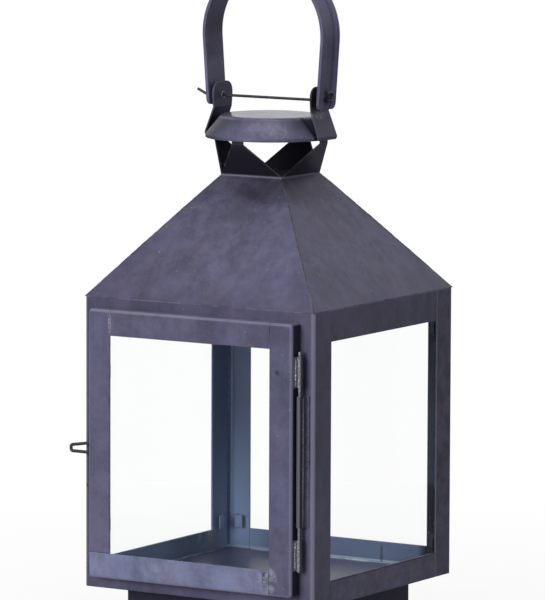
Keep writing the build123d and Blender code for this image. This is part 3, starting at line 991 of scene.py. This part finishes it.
# %% [markdown]
# Seams and solder run along the joints in beads that swell and thin with the hand that drew them. A bead is an
# ellipse carried along a straight line. Its half width and height fade to nothing at both ends and wobble
# between, by a few sine waves of different lengths, which look irregular but come out the same on every run.
# On the hips of the roof the bead is the dark, narrow seam where two panels meet.

# %% Draw a bead
bead_waves = np.array([3.0, 7.0, 13.0, 23.0])[:, None]
bead_wobble = 0.308
bead_fade = 0.35


def bead(start, end, side, out, half_width, height, seed, rows=90, columns=12):
    """Grid of an ellipse along a line: side and out are its axes; its size fades at the ends and wobbles."""
    start, end, side, out = (np.asarray(v, float) for v in (start, end, side, out))
    share = np.linspace(0, 1, rows)
    phases = np.random.default_rng(seed).uniform(0, 2 * np.pi, bead_waves.shape)
    wobble = 1 + bead_wobble * np.sin(2 * np.pi * bead_waves * share + phases).mean(axis=0)
    swell = np.clip(np.sin(np.pi * share), 0, 1) ** bead_fade * wobble
    angle = np.linspace(0, 2 * np.pi, columns, endpoint=False)
    line = start + share[:, None] * (end - start)
    across = np.outer(swell * half_width, np.cos(angle))
    upwards = np.outer(swell * height, np.sin(angle))
    return line[:, None, :] + across[..., None] * side + upwards[..., None] * out


# %% Seam the hips of the roof
corner_signs = ((1, -1), (1, 1), (-1, 1), (-1, -1))
roof_low, roof_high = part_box("front_roof_panel")
eave_half = roof_high.x
crown_half = 0.0167
hip_start, hip_end = 0.03, 0.985
hip_half_width, hip_height, hip_sink = 0.00034, 0.00036, 0.00012
for number, (sx, sy) in enumerate(corner_signs):
    eave_corner = np.array([sx * eave_half, sy * eave_half, roof_low.z])
    crown_corner = np.array([sx * crown_half, sy * crown_half, crown_fold])
    hip = crown_corner - eave_corner
    side = np.array([-sy, sx, 0]) / math.sqrt(2)
    out = np.cross(hip, side)
    out = out / np.linalg.norm(out) * np.sign(out[2])
    seam = bead(
        eave_corner + hip * hip_start - out * hip_sink,
        eave_corner + hip * hip_end - out * hip_sink,
        side, out, hip_half_width, hip_height, seed=number,
    )
    grid_piece(f"hip_seam_{number + 1}", seam, "body", seam_black)

# %% [markdown]
# The same beads serve elsewhere with other colours. A grey one runs along the root of the hinge's leaf on the
# post, a dark blue one, coloured like the painted shade there, down each upright corner of the chamber, and a
# pale one along the foot of each pane, where it meets its rail. Bright solder holds the two leaves of the door.
# Each bead starts and ends a little inside its joint, so that its faded ends don't stand proud.

# %% Solder the leaf on the post and the chamber
leaf_low, leaf_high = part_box("hinge_post_leaf")
leaf_web = 0.0586
leaf_root_y = rod_y + 0.0004
leaf_inset = 0.0005
leaf_half_width, leaf_height = 0.00040, 0.0003
leaf_root = bead(
    (leaf_web, leaf_root_y, leaf_low.z + leaf_inset),
    (leaf_web, leaf_root_y, leaf_high.z - leaf_inset),
    (0, 1, 0), (1, 0, 0), leaf_half_width, leaf_height, seed=11, rows=140,
)
grid_piece("post_leaf_solder", leaf_root, "body", hinge_steel)

inner_corner = 0.0612
corner_low, corner_high = 0.034, 0.152
corner_half_width, corner_height = 0.0006, 0.0004
for number, (sx, sy) in enumerate(corner_signs):
    line = bead(
        (sx * inner_corner, sy * inner_corner, corner_low),
        (sx * inner_corner, sy * inner_corner, corner_high),
        np.array([sx, -sy, 0]) / math.sqrt(2), np.array([-sx, -sy, 0]) / math.sqrt(2),
        corner_half_width, corner_height, seed=40 + number, rows=160,
    )
    grid_piece(f"corner_solder_{number + 1}", line, "body", blue_seam)

pane_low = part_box("back_pane")[0]
bed_half = 0.047
bed_half_width, bed_height = 0.0004, 0.0006
bed_level = np.array([0, 0, pane_low.z + 0.0003])
for number, (sx, sy) in enumerate(((1, 0), (0, 1), (-1, 0))):
    bed_middle = np.array([sx, sy, 0]) * pane_low.y + bed_level
    along = np.array([-sy, sx, 0]) * bed_half
    line = bead(
        bed_middle - along, bed_middle + along, (-sx, -sy, 0), (0, 0, 1),
        bed_half_width, bed_height, seed=50 + number, rows=160,
    )
    grid_piece(f"glass_bed_{number + 1}", line, "body", inner_solder)

# %% Solder the leaves on the door
leaf_bead_x, leaf_bead_y, leaf_bead_inset = 0.0008, 0.0013, 0.0004
leaf_bead_half_width, leaf_bead_height = 0.0007, 0.00045
for number, name in enumerate(("upper_hinge_leaf", "lower_hinge_leaf")):
    low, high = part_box(name)
    line = bead(
        (low.x + leaf_bead_x, low.y + leaf_bead_y, low.z + leaf_bead_inset),
        (low.x + leaf_bead_x, low.y + leaf_bead_y, high.z - leaf_bead_inset),
        (0, 1, 0), (1, 0, 0), leaf_bead_half_width, leaf_bead_height, seed=20 + number, rows=60,
    )
    grid_piece(f"{name}_solder", line, "door", solder)

# %% [markdown]
# The ears were punched, so a fine burr stands round each hole on the side where the punch came out, and the
# ends of the door pull are held by a drop of solder each. A burr is a thin ring. A drop is a squashed half ball
# whose radius wobbles a little round its rim. Where they sit is read from the frame's own nodes.


# %% Shape burrs and drops
def node_points(name):
    """Points of a node's mesh as an array with one row for each point."""
    points = np.empty(len(nodes[name].data.vertices) * 3)
    nodes[name].data.vertices.foreach_get("co", points)
    return points.reshape(-1, 3)


def ring(centre, radius, thickness, rows=36, columns=10):
    """Ring round the x axis: a small circle whose centre goes once round a larger one."""
    turn_angle = np.linspace(0, 2 * np.pi, rows, endpoint=False)[:, None]
    tube_angle = np.linspace(0, 2 * np.pi, columns, endpoint=False)[None, :]
    reach = radius + thickness * np.cos(tube_angle)
    x = thickness * np.sin(tube_angle) + 0 * turn_angle
    return np.asarray(centre) + np.stack([x, reach * np.cos(turn_angle), reach * np.sin(turn_angle)], axis=-1)


def drop(centre, radius, height, seed, rows=10, columns=24):
    """Half ball that swells towards -x: height = cosine and reach = sine of one angle, with a wavy rim."""
    rise = np.linspace(0, np.pi / 2, rows)[:, None]
    turn_angle = np.linspace(0, 2 * np.pi, columns, endpoint=False)[None, :]
    phase = np.random.default_rng(seed).uniform(0, 2 * np.pi)
    rim = radius * (1 + 0.10 * np.sin(3 * turn_angle + phase) + 0.06 * np.sin(5 * turn_angle - phase))
    x = -height * np.cos(rise) + 0 * turn_angle
    reach = np.sin(rise) * rim
    return np.asarray(centre) + np.stack([x, reach * np.cos(turn_angle), reach * np.sin(turn_angle)], axis=-1)


# %% Add the burrs and drops
burr_radius, burr_thickness = 0.00140, 0.00035
for side, direction in (("left", -1), ("right", 1)):
    strap = node_points(f"{side}_handle_strap")
    ear_inside = np.abs(strap[strap[:, 2] > pin_level, 0]).min()
    burr = ring((direction * ear_inside, 0, pin_level), burr_radius, burr_thickness)
    grid_piece(f"{side}_ear_burr", burr, "body", hinge_steel, round_first=True)

pull_wire_radius = 0.00075
drop_radius, drop_height, drop_sink = 0.0014, 0.0006, 0.0001
pull = node_points("door_pull")
stile_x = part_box("door_left_stile")[0].x
roots = pull[pull[:, 0] > stile_x]
root_levels = {"upper": roots[:, 2].max() - pull_wire_radius, "lower": roots[:, 2].min() + pull_wire_radius}
for name, root_level in root_levels.items():
    root = (stile_x + drop_sink, roots[:, 1].mean(), root_level)
    root_drop = drop(root, drop_radius, drop_height, seed=31)
    grid_piece(f"{name}_pull_solder", root_drop, "door", dull_solder)

# %% [markdown]
# The studio is a wide pale floor under a white sky. Camera and see-through rays meet plain white, and mirrored
# rays a dimmer floor, so the background, the view through the glass and the reflections agree, while the
# light that falls on the lantern stays at a plain level. Near the lantern the floor keeps a part of its real
# shading, which is where the shadow shows, and it looks darker to light that bounces off it.


# %% Lay the floor
def light_path(wire, kind):
    """1 for rays of one kind, such as camera, glossy, transmission or diffuse rays."""
    return wire.add("ShaderNodeLightPath", output=f"Is {kind} Ray")


floor_half = 7.0
bounce_grey = colour(0.42, 0.42, 0.43)
shown_white = colour(0.90, 0.90, 0.90)
white_near = 0.87
shadow_start, shadow_end = 0.08, 0.45
mirrored_white = 0.16

floor_mesh = bpy.data.meshes.new("studio_floor")
floor_corners = np.array([(-1, -1, 0), (1, -1, 0), (1, 1, 0), (-1, 1, 0)]) * floor_half
floor_mesh.from_pydata(floor_corners.tolist(), [], [(0, 1, 2, 3)])
floor = bpy.data.objects.new("studio_floor", floor_mesh)
bpy.context.scene.collection.objects.link(floor)
floor_material, floor_shader, floor_place = start_material("pale_floor")
shown = light_path(floor_place, "Camera").most(light_path(floor_place, "Transmission"))
feed(floor_shader, "Base Color", shown.blend(bounce_grey, shown_white))
feed(floor_shader, "Roughness", 0.9)
feed(floor_shader, "Specular IOR Level", 0.0)
white = floor_place.add("ShaderNodeEmission", None, {"Color": colour(1, 1, 1), "Strength": 1.0})
paint = Wire(floor_material.node_tree, floor_shader.outputs["BSDF"])
floor_x, floor_y, _ = separate(floor_place)
squared = floor_x * floor_x + floor_y * floor_y
from_lantern = squared.math("SQRT", squared)
away = from_lantern.step(shadow_start, shadow_end) * (1 - white_near) + white_near
white_share = (shown * away).most(light_path(floor_place, "Glossy") * mirrored_white)
lit_floor = floor_place.add("ShaderNodeMixShader", None, {0: white_share, 1: paint, 2: white})
feed(floor_material.node_tree.nodes["Material Output"], "Surface", lit_floor)
floor_mesh.materials.append(floor_material)
print("floor:", 2 * floor_half, "m wide")

# %% [markdown]
# The sky is white where it is seen, mirrored or looked at through glass, and lights the lantern only faintly.
# Three soft square lamps do the rest, as in a photographer's studio: a large one in front, a second above, and
# a small one at the right-hand corner that brings out the folds. More sky would be simpler, but light from
# everywhere leaves folded sheet looking flat.

# %% Light the studio
sky_light = 0.13
world = bpy.data.worlds.new("white_studio")
world.use_nodes = True
bpy.context.scene.world = world
sky = world.node_tree.nodes["Background"]
anywhere = Wire(world.node_tree)
sky_shown = light_path(anywhere, "Camera").most(light_path(anywhere, "Glossy"))
sky_shown = sky_shown.most(light_path(anywhere, "Transmission"))
feed(sky, "Color", colour(1.0, 1.0, 1.0))
feed(sky, "Strength", sky_shown * (1 - sky_light) + sky_light)
bpy.context.scene.view_settings.view_transform = "Standard"


def softbox(name, place, size, watts):
    """Square area lamp at a place, turned to face the middle of the lantern."""
    lamp = bpy.data.lights.new(name, "AREA")
    lamp.size = size
    lamp.energy = watts
    box = bpy.data.objects.new(name, lamp)
    box.location = place
    box.rotation_mode = "QUATERNION"
    box.rotation_quaternion = (Vector((0, 0, aim_height)) - Vector(place)).to_track_quat("-Z", "Y")
    bpy.context.scene.collection.objects.link(box)


softbox("key_softbox", (-0.25, -2.5, 0.80), size=1.2, watts=54.0)
softbox("top_softbox", (0.25, 0.15, 2.4), size=1.2, watts=30.0)
softbox("corner_softbox", (2.00, -1.60, 0.60), size=0.35, watts=6.0)
print("studio: floor, sky and three softboxes")
